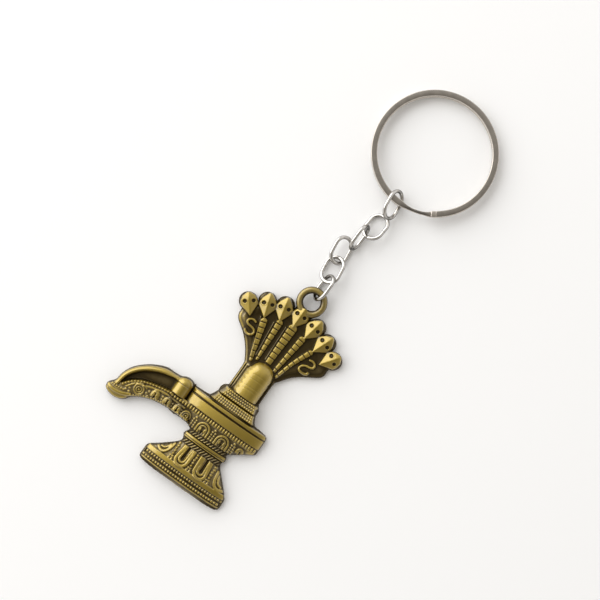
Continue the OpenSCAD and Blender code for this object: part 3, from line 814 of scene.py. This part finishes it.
# eyelet: a cast ring with a soft crown
a = np.linspace(0, 2 * math.pi, 160, endpoint=False)
EC = np.array([0.55, 33.65, 2.0])
R0 = 2.84
cen = np.c_[EC[0] + R0 * np.cos(a), EC[1] + R0 * np.sin(a), np.full(len(a), EC[2])]
rgt = np.c_[np.cos(a), np.sin(a), 0 * a]
upv = np.c_[0 * a, 0 * a, 1 + 0 * a]
b = np.linspace(0, 2 * math.pi, 36, endpoint=False)
sec = np.c_[0.83 * np.sign(np.cos(b)) * np.abs(np.cos(b)) ** 0.85, 0.83 * np.sign(np.sin(b)) * np.abs(np.sin(b)) ** 0.85]
sec = sec / np.maximum(1, np.hypot(sec[:, 0], sec[:, 1])[:, None] / 0.83)
# painted shade on the eyelet over an even patina: darker towards the bottom, in the hole where the link passes, and
# round the outer edge
eye = solid_sweep("charm_eyelet", cen, rgt, upv, sec, True,
                  lambda V: np.clip(0.26 + 0.75 * smooth((2.35 - V[:, 2]) / 1.0)
                                    + 0.85 * smooth((2.55 - np.hypot(V[:, 0] - EC[0], V[:, 1] - EC[1])) / 0.45)
                                    + 0.35 * smooth((np.hypot(V[:, 0] - EC[0], V[:, 1] - EC[1]) - 3.35) / 0.3), 0, 1))
fix_normals(eye)
eyelet = add("charm_eyelet", eye)

# ------------------------------------------------------------------- links
LINKS = [
    (0.86, 38.02, 2.44, -1, 1, -61, 4.4, 2.0),
    (0.11, 42.60, 1.66, 8, -6.5, -24.5, 4.4, 2.0),
    (-0.82, 47.46, 1.72, 7, -3, 32, 4.4, 2.0),
    (0.89, 52.26, 2.67, -1, 4, 69, 4.4, 2.0),
    (2.57, 56.52, 1.69, -5, -14, -21.5, 4.4, 2.0),
    (2.88, 62.97, 2.66, 4.5, -10.5, 52, 4.9, 1.9),
]
WIRE = 0.45


def link_mesh(i, spec):
    x, y, z, yaw, pitch, roll, w, s = spec
    r, h = w / 2, s / 2
    na, ns = ((40, 12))
    th = np.linspace(0, math.pi, na, endpoint=False)
    P, T = [], []
    seam = (-1) ** i
    for t in th:
        P.append((r * math.cos(t), h + r * math.sin(t)))
        T.append((-math.sin(t), math.cos(t)))
    ys = np.linspace(h, -h, ns, endpoint=False)
    for q in ys:
        P.append((-r, q))
        T.append((0, -1))
    for t in th:
        P.append((-r * math.cos(t), -h - r * math.sin(t)))
        T.append((math.sin(t), -math.cos(t)))
    # the leg with the butt joint has extra rings round a fine groove
    ys = np.r_[np.linspace(-h, -0.12, ns), -0.045, -0.015, 0.015, 0.045, np.linspace(0.12, h, ns)[:-1]]
    seam_at = []
    for q in ys:
        P.append((r, q))
        T.append((0, 1))
        seam_at.append(len(P) - 1 if abs(q) < 0.02 else None)
    seam_at = {k for k in seam_at if k is not None}
    P, T = np.array(P), np.array(T)
    R = (
        Matrix.Rotation(math.radians(yaw), 3, "Z")
        @ Matrix.Rotation(math.radians(pitch), 3, "X")
        @ Matrix.Rotation(math.radians(roll), 3, "Y")
    )
    R = np.array(R)
    flip = np.array([seam, 1.0])
    cen = np.c_[P * flip, np.zeros(len(P))] @ R.T + np.array([x, y, z])
    nrm = np.c_[T[:, 1] * flip[0], -T[:, 0], np.zeros(len(T))] @ R.T
    upn = np.tile(R @ np.array([0, 0, 1.0]), (len(P), 1))
    nb = 28
    b = np.linspace(0, 2 * math.pi, nb, endpoint=False)
    sec = np.c_[np.cos(b), np.sin(b)] * WIRE
    V = cen[:, None, :] + sec[None, :, 0, None] * nrm[:, None, :] + sec[None, :, 1, None] * upn[:, None, :]
    # the wire's ends meet with a fine line
    for k in seam_at:
        V[k] = cen[k] + (V[k] - cen[k]) * 0.86
    N = (V - cen[:, None, :]) / WIRE
    # painted shade: the wire's upper flanks are darker, more on the side away from the light
    val = smooth((0.82 - N[:, :, 2]) / 0.35) * smooth((N[:, :, 2] - 0.02) / 0.30) * (0.56 + 0.32 * smooth((N[:, :, 0] + 0.2) / 0.9))
    # and painted shade on the inside of the two bows, where the next link lies
    bow = np.abs(P[:, 1]) > h + 0.35 * r
    val = np.maximum(val, 0.45 * bow[:, None] * smooth((-sec[None, :, 0] / WIRE - 0.1) / 0.6))
    for k in seam_at:
        val[k] = 1
    k = len(P)
    F = []
    for i2 in range(k):
        a, c = i2 * nb, ((i2 + 1) % k) * nb
        for j in range(nb):
            j2 = (j + 1) % nb
            F.append([a + j, a + j2, c + j2, c + j])
    me = bpy.data.meshes.new(f"link_{i + 1}_wire")
    me.from_pydata((V.reshape(-1, 3) * MM).tolist(), [], F)
    me.update()
    at = me.attributes.new("patina_and_shade", "FLOAT", "POINT")
    at.data.foreach_set("value", val.reshape(-1).astype(np.float32))
    fix_normals(me)
    return me


links = []
for i, spec in enumerate(LINKS):
    links.append(add(f"link_{i + 1}_wire", link_mesh(i, spec)))

# -------------------------------------------------------------- split ring
RC = np.array([3.9, 78.3, 1.71])
TILT = math.radians(-2.6)
RR, RW, RT, GAP = 14.15, 0.725, 0.5, 0.05
nseg = 720
T0 = -58.8  # the upper free end, pressed flat for its last millimetre
tt = np.sort(np.r_[T0, T0 + 0.1, T0 + 0.4, np.linspace(T0 + 0.8, 629.2, nseg), -54.5, -54.2, -54.0, -53.8, -53.5, 629.6, 629.9, 630.0])


def level(t):
    s = np.clip((t - 270) / 36, 0, 1)
    e = s * s * (3 - 2 * s)
    return (RT + GAP / 2) * (1 - 2 * e)


def rounded(w, h, r, n=5):
    out = []
    for cx, cy, a0 in ((w - r, h - r, 0), (-w + r, h - r, 90), (-w + r, -h + r, 180), (w - r, -h + r, 270)):
        for k in range(n):
            q = math.radians(a0 + 90 * k / (n - 1))
            out.append((cx + r * math.cos(q), cy + r * math.sin(q)))
    return np.array(out)


sec0 = rounded(RW, RT, 0.2)
soft = rounded(RW, RT, 0.36)
oval = np.c_[np.cos(np.arctan2(sec0[:, 1] / RT, sec0[:, 0] / RW)) * RW, np.sin(np.arctan2(sec0[:, 1] / RT, sec0[:, 0] / RW)) * RT]
V = []
Rx = np.array(Matrix.Rotation(TILT, 3, "X"))
for t in tt:
    q = math.radians(t)
    k = 1.0
    end = min(t - T0, 630.0 - t)
    if end < 0.8:
        k = 0.80 + 0.20 * math.sqrt(1 - (1 - end / 0.8) ** 2)
    k *= 1 - 0.07 * math.exp(-(((t + 54.0) / 0.3) ** 2))
    # the crossing is pressed a little narrower
    g = math.exp(-(((t - 287) / 13) ** 4))
    low_turn = float(smooth(np.array((t - 306) / 30))) * float(smooth(np.array((612 - t) / 40)))
    s = (sec0 + (soft - sec0) * low_turn) * (1 - g) + oval * g
    s = s * np.array([k * (1 - 0.36 * g), k])
    rr = RR + s[:, 0] + 0.12 * low_turn * math.cos(q + math.radians(30))
    p = np.c_[rr * math.cos(q), rr * math.sin(q), s[:, 1] + float(level(np.array(t)))]
    V.append(p @ Rx.T + RC)
V = np.array(V)
m, k = V.shape[1], V.shape[0]
F = []
for i in range(k - 1):
    for j in range(m):
        j2 = (j + 1) % m
        F.append([i * m + j, i * m + j2, (i + 1) * m + j2, (i + 1) * m + j])
F.append(list(range(m))[::-1])
F.append([(k - 1) * m + j for j in range(m)])
me = bpy.data.meshes.new("split_ring_wire")
me.from_pydata((V.reshape(-1, 3) * MM).tolist(), [], F)
me.update()
at = me.attributes.new("patina_and_shade", "FLOAT", "POINT")
# painted shade: the flat faces are darker than the corners, less so on the free end, and darker still at the crossing
# where one turn lies over the other
face = np.abs(np.sin(np.radians([a0 + 90 * k2 / 4 for a0 in (0, 90, 180, 270) for k2 in range(5)])))
ring_face_shade = np.where(tt < -54, 0.30, 1.0) * (1 - np.exp(-(((tt + 54.0) / 0.4) ** 2))) + 0.45 * np.exp(-(((tt - 287) / 13) ** 4))
at.data.foreach_set("value", np.outer(ring_face_shade, 0.46 * smooth((face - 0.70) / 0.28)).ravel().astype(np.float32))
fix_normals(me)
ring = add("split_ring_wire", me)
try:
    for p in me.polygons[-2:]:
        p.use_smooth = False
except Exception:
    pass

# --------------------------------------------------------------- materials
def nodes_of(mat):
    mat.use_nodes = True
    nt = mat.node_tree
    nt.nodes.clear()
    out = nt.nodes.new("ShaderNodeOutputMaterial")
    bs = nt.nodes.new("ShaderNodeBsdfPrincipled")
    nt.links.new(bs.outputs[0], out.inputs[0])
    return nt, bs


def ramp(nt, stops):
    r = nt.nodes.new("ShaderNodeValToRGB")
    el = r.color_ramp.elements
    while len(el) > 1:
        el.remove(el[-1])
    el[0].position = stops[0][0]
    el[0].color = stops[0][1]
    for p, c in stops[1:]:
        e = el.new(p)
        e.color = c
    return r


def noise(nt, scale, detail=4, rough=0.55, vec=None):
    n = nt.nodes.new("ShaderNodeTexNoise")
    n.inputs["Scale"].default_value = scale
    n.inputs["Detail"].default_value = detail
    n.inputs["Roughness"].default_value = rough
    if vec:
        nt.links.new(vec, n.inputs["Vector"])
    return n


def math_node(nt, op, a=None, b=None, va=0.0, vb=0.0, clamp=False):
    n = nt.nodes.new("ShaderNodeMath")
    n.operation = op
    n.use_clamp = clamp
    n.inputs[0].default_value = va
    n.inputs[1].default_value = vb
    if a is not None:
        nt.links.new(a, n.inputs[0])
    if b is not None:
        nt.links.new(b, n.inputs[1])
    return n


def brass_material():
    mat = bpy.data.materials.new("antique_brass")
    nt, bs = nodes_of(mat)
    tc = nt.nodes.new("ShaderNodeTexCoord")
    obj = tc.outputs["Object"]
    at = nt.nodes.new("ShaderNodeAttribute")
    at.attribute_name = "patina_and_shade"
    big = noise(nt, 240, 3, 0.5, obj)
    fine = noise(nt, 1500, 5, 0.6, obj)
    grain = noise(nt, 5200, 3, 0.6, obj)
    # patina and painted shade amount: the cavity-based attribute broken up by noise
    s1 = math_node(nt, "MULTIPLY_ADD", big.outputs["Fac"], vb=0.30)
    s1.inputs[2].default_value = -0.15
    s2 = math_node(nt, "ADD", at.outputs["Fac"], s1.outputs[0])
    s3 = math_node(nt, "MULTIPLY_ADD", fine.outputs["Fac"], vb=0.22)
    s3.inputs[2].default_value = -0.11
    amt = math_node(nt, "ADD", s2.outputs[0], s3.outputs[0], clamp=True)
    col = ramp(
        nt,
        [
            (0.0, (0.405, 0.287, 0.036, 1)),
            (0.15, (0.368, 0.267, 0.048, 1)),
            (0.32, (0.232, 0.170, 0.048, 1)),
            (0.50, (0.130, 0.095, 0.034, 1)),
            (0.75, (0.080, 0.056, 0.018, 1)),
            (1.0, (0.052, 0.035, 0.010, 1)),
        ],
    )
    nt.links.new(amt.outputs[0], col.inputs[0])
    nt.links.new(col.outputs[0], bs.inputs["Base Color"])
    bs.inputs["Metallic"].default_value = 1.0
    rr = nt.nodes.new("ShaderNodeMapRange")
    rr.inputs["To Min"].default_value = 0.43
    rr.inputs["To Max"].default_value = 0.58
    # the lacquer is thin where it pooled away from the rough dark recesses
    cw = nt.nodes.new("ShaderNodeMapRange")
    cw.inputs["From Min"].default_value = 0.25
    cw.inputs["From Max"].default_value = 0.75
    cw.inputs["To Min"].default_value = 1.0
    cw.inputs["To Max"].default_value = 0.2
    nt.links.new(amt.outputs[0], cw.inputs["Value"])
    nt.links.new(cw.outputs[0], bs.inputs["Coat Weight"])
    bs.inputs["Coat IOR"].default_value = 1.65
    bs.inputs["Coat Roughness"].default_value = 0.12
    nt.links.new(amt.outputs[0], rr.inputs["Value"])
    add_r = math_node(nt, "MULTIPLY_ADD", fine.outputs["Fac"], vb=0.12)
    nt.links.new(rr.outputs[0], add_r.inputs[2])
    nt.links.new(add_r.outputs[0], bs.inputs["Roughness"])
    bump = nt.nodes.new("ShaderNodeBump")
    bump.inputs["Strength"].default_value = 0.15
    bump.inputs["Distance"].default_value = 0.00002
    nt.links.new(grain.outputs["Fac"], bump.inputs["Height"])
    bump2 = nt.nodes.new("ShaderNodeBump")
    bump2.inputs["Strength"].default_value = 0.15
    bump2.inputs["Distance"].default_value = 0.00005
    nt.links.new(fine.outputs["Fac"], bump2.inputs["Height"])
    nt.links.new(bump.outputs[0], bump2.inputs["Normal"])
    nt.links.new(bump2.outputs[0], bs.inputs["Normal"])
    return mat


def nickel_material(name, base, rough, brushed=False):
    mat = bpy.data.materials.new(name)
    nt, bs = nodes_of(mat)
    tc = nt.nodes.new("ShaderNodeTexCoord")
    obj = tc.outputs["Object"]
    at = nt.nodes.new("ShaderNodeAttribute")
    at.attribute_name = "patina_and_shade"
    n = noise(nt, 700, 4, 0.55, obj)
    f = noise(nt, 4200, 3, 0.6, obj)
    # the attribute's patina and painted shade, broken up by noise, darkens the base colour
    amt = math_node(nt, "MULTIPLY_ADD", n.outputs["Fac"], vb=0.35)
    nt.links.new(at.outputs["Fac"], amt.inputs[2])
    col = ramp(
        nt,
        [
            (0.0, (*[min(1, c * 1.06) for c in base], 1)),
            (0.35, (*[c * 0.90 for c in base], 1)),
            (0.7, (*[c * 0.55 for c in base], 1)),
            (1.0, (*[c * 0.12 for c in base], 1)),
        ],
    )
    nt.links.new(amt.outputs[0], col.inputs[0])
    nt.links.new(col.outputs[0], bs.inputs["Base Color"])
    bs.inputs["Metallic"].default_value = 1.0
    r = math_node(nt, "MULTIPLY_ADD", f.outputs["Fac"], vb=0.10)
    r.inputs[2].default_value = rough
    nt.links.new(r.outputs[0], bs.inputs["Roughness"])
    bump = nt.nodes.new("ShaderNodeBump")
    bump.inputs["Strength"].default_value = 0.25
    bump.inputs["Distance"].default_value = 0.00002
    nt.links.new(f.outputs["Fac"], bump.inputs["Height"])
    if brushed:
        # fine rolling lines along the wire: rings about the split ring's centre
        mp = nt.nodes.new("ShaderNodeMapping")
        mp.inputs["Location"].default_value = (-0.0039, -0.0783, 0)
        nt.links.new(obj, mp.inputs["Vector"])
        sep = nt.nodes.new("ShaderNodeSeparateXYZ")
        nt.links.new(mp.outputs[0], sep.inputs[0])
        cmb = nt.nodes.new("ShaderNodeCombineXYZ")
        nt.links.new(sep.outputs[0], cmb.inputs[0])
        nt.links.new(sep.outputs[1], cmb.inputs[1])
        ln = nt.nodes.new("ShaderNodeVectorMath")
        ln.operation = "LENGTH"
        nt.links.new(cmb.outputs[0], ln.inputs[0])
        c2 = nt.nodes.new("ShaderNodeCombineXYZ")
        nt.links.new(ln.outputs["Value"], c2.inputs[0])
        nt.links.new(sep.outputs[2], c2.inputs[1])
        lines = noise(nt, 9000, 2, 0.5, c2.outputs[0])
        b2 = nt.nodes.new("ShaderNodeBump")
        b2.inputs["Strength"].default_value = 0.3
        b2.inputs["Distance"].default_value = 0.00002
        nt.links.new(lines.outputs["Fac"], b2.inputs["Height"])
        nt.links.new(bump.outputs[0], b2.inputs["Normal"])
        nt.links.new(b2.outputs[0], bs.inputs["Normal"])
    else:
        nt.links.new(bump.outputs[0], bs.inputs["Normal"])
    return mat


BRASS = brass_material()
NICKEL = nickel_material("link_nickel", (0.66, 0.635, 0.60), 0.05)
STEEL = nickel_material("ring_steel", (0.66, 0.61, 0.55), 0.16, True)

for o in (charm, eyelet):
    o.data.materials.append(BRASS)
    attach(o, "charm")
    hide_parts("charm")
for i, o in enumerate(links):
    o.data.materials.append(NICKEL)
    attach(o, f"link_{i + 1}")
    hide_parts(f"link_{i + 1}")
ring.data.materials.append(STEEL)
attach(ring, "split_ring")
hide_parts("split_ring")

# ------------------------------------------------------------ floor and light
bpy.ops.mesh.primitive_plane_add(size=3.0, location=(0, 0.03, min(0.0, cad_lo.z) - 0.00002))
floor = bpy.context.object
floor.name = "floor"
fm = bpy.data.materials.new("floor_white")
nt, bs = nodes_of(fm)
bs.inputs["Base Color"].default_value = (0.98, 0.98, 0.98, 1)
bs.inputs["Roughness"].default_value = 0.9
floor.data.materials.append(fm)


def area_light(name, loc, target, size, power, colour=(1, 1, 1)):
    d = bpy.data.lights.new(name, "AREA")
    d.shape = "RECTANGLE"
    d.size, d.size_y = size
    d.energy = power
    d.color = colour
    o = bpy.data.objects.new(name, d)
    o.location = loc
    o.rotation_euler = (Vector(target) - Vector(loc)).to_track_quat("-Z", "Y").to_euler()
    bpy.context.scene.collection.objects.link(o)
    return o


# the softbox stands to the charm's left
area_light("key", (-0.69, 0.15, 0.335), (0, 0.03, 0), (1.15, 1.15), 5.6)

world = bpy.data.worlds.new("studio")
bpy.context.scene.world = world
world.use_nodes = True
wt = world.node_tree
wt.nodes.clear()
wo = wt.nodes.new("ShaderNodeOutputWorld")
bg = wt.nodes.new("ShaderNodeBackground")
tc = wt.nodes.new("ShaderNodeTexCoord")
# a white room with one dim patch overhead, a little to the right
dark = wt.nodes.new("ShaderNodeVectorMath")
dark.operation = "DOT_PRODUCT"
ax = Vector((0.40, -0.30, 0.90)).normalized()
dark.inputs[1].default_value = tuple(ax)
wt.links.new(tc.outputs["Generated"], dark.inputs[0])
rz = wt.nodes.new("ShaderNodeValToRGB")
el = rz.color_ramp.elements
el[0].position = 0.0
el[0].color = (0.66, 0.66, 0.66, 1)
el[1].position = 0.30
el[1].color = (0.62, 0.615, 0.61, 1)
for pos, c in ((0.55, (0.50, 0.49, 0.475)), (0.72, (0.38, 0.365, 0.345)), (0.84, (0.28, 0.265, 0.24)), (0.92, (0.20, 0.19, 0.172)), (1.0, (0.13, 0.12, 0.105))):
    e = el.new(pos)
    e.color = (*c, 1)
wt.links.new(dark.outputs["Value"], rz.inputs[0])
lit = wt.nodes.new("ShaderNodeVectorMath")
lit.operation = "DOT_PRODUCT"
lit.inputs[1].default_value = tuple(Vector((-0.90, 0.12, 0.40)).normalized())
wt.links.new(tc.outputs["Generated"], lit.inputs[0])
rl = wt.nodes.new("ShaderNodeMapRange")
rl.inputs["From Min"].default_value = 0.55
rl.inputs["From Max"].default_value = 1.0
rl.inputs["To Min"].default_value = 1.0
rl.inputs["To Max"].default_value = 1.06
wt.links.new(lit.outputs["Value"], rl.inputs["Value"])
wt.links.new(rl.outputs[0], bg.inputs["Strength"])
wt.links.new(rz.outputs[0], bg.inputs["Color"])
wt.links.new(bg.outputs[0], wo.inputs[0])

sc = bpy.context.scene
sc.view_settings.view_transform = "Standard"
sc.view_settings.look = "None"
sc.view_settings.exposure = 0.585
sc.view_settings.gamma = 1.0
